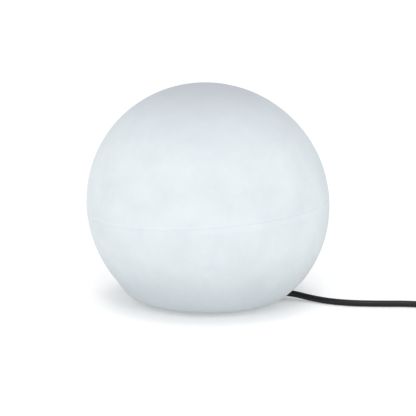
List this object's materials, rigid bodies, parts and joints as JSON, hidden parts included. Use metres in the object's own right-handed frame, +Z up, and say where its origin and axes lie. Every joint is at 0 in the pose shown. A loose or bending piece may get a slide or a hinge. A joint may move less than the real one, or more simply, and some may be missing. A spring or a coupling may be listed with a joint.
{
  "type": "garden globe light",
  "caption": "Opal ball garden light with a flat underside, a screwed-in bulb on a small base and a black rubber mains cord.",
  "frame": {"origin": "on the ground, under the middle of the ball", "axes": "+Z up, +X to the side where the cord leaves, -Y to the viewer of the picture"},
  "size_m": [0.5613, 0.3006, 0.27],
  "materials": {
    "opal_polyethylene": "rotomoulded, satin, glows from inside",
    "brass": "turned",
    "black_abs": "fine moulded texture",
    "black_rubber": "matt moulded",
    "epdm_seal": "matt",
    "stainless_steel": "bright",
    "black_nylon": "satin moulded",
    "cord_rubber": "satin extruded sheath",
    "brown_core": "extruded",
    "blue_core": "extruded",
    "white_abs": "fine moulded texture",
    "zinc_plated_steel": "zinc plated",
    "black_thermoplastic": "moulded",
    "porcelain": "unglazed",
    "phosphor_bronze": "rolled",
    "nickel_plated_brass": "nickel plated",
    "nylon_tie": "moulded",
    "plug_rubber": "matt moulded",
    "tin_solder": "dull solder",
    "lamp_cap_glass": "dark glass",
    "white_polycarbonate": "moulded",
    "opal_polycarbonate": "blown, frosted",
    "white_aluminium_board": "white solder mask",
    "led_phosphor": "phosphor",
    "green_board": "solder mask",
    "black_epoxy": "potted"
  },
  "bodies": {
    "base": {"base_plate": "black_abs", "base_skirt": "black_abs", "base_pan": "black_abs", "foot_ring": "black_rubber", "base_gasket": "epdm_seal", "globe_screws": "stainless_steel", "gland_washer": "epdm_seal", "gland_body": "black_nylon", "gland_seal": "epdm_seal", "gland_nut": "black_nylon", "gland_locknut": "black_nylon", "cord_entry": "cord_rubber", "cord_clamp": "black_nylon", "clamp_screws": "stainless_steel", "live_lead": "brown_core", "neutral_lead": "blue_core", "wiring_cover": "white_abs", "cover_screws": "stainless_steel", "holder_nipple": "zinc_plated_steel", "nipple_nut": "zinc_plated_steel", "holder_cap": "black_thermoplastic", "holder_sleeve": "black_thermoplastic", "holder_insert": "porcelain", "holder_terminals": "brass", "holder_contact": "phosphor_bronze", "holder_shell": "nickel_plated_brass", "cord_run": "cord_rubber", "cord_coil": "cord_rubber", "coil_tie": "nylon_tie", "cord_tail": "cord_rubber", "plug_boot": "plug_rubber", "plug_body": "plug_rubber", "plug_pins": "nickel_plated_brass"},
    "globe": {"globe_shell": "opal_polyethylene", "threaded_inserts": "brass"},
    "bulb_carrier": {"bulb_contact": "tin_solder"},
    "bulb": {"bulb_screw_cap": "nickel_plated_brass", "bulb_insulator": "lamp_cap_glass", "bulb_housing": "white_polycarbonate", "bulb_diffuser": "opal_polycarbonate", "bulb_led_board": "white_aluminium_board", "bulb_leds": "led_phosphor", "bulb_driver_board": "green_board", "bulb_driver_parts": "black_epoxy"}
  },
  "joints": [
    {"name": "globe_lift", "type": "slide", "parent": "base", "child": "globe", "axis": [0, 0, 1], "range_m": [0, 0.18]},
    {"name": "bulb_rise", "type": "slide", "parent": "base", "child": "bulb_carrier", "axis": [0, 0, 1], "range_m": [0, 0.01819]},
    {"name": "bulb_turn", "type": "hinge", "parent": "bulb_carrier", "child": "bulb", "pos_m": [0, 0, 0.08], "axis": [0, 0, 1], "range_deg": [0, 1800]}
  ],
  "couplings": [
    {"joint": "bulb_rise", "follows": "bulb_turn", "m_per_rad": 0.00057757}
  ]
}
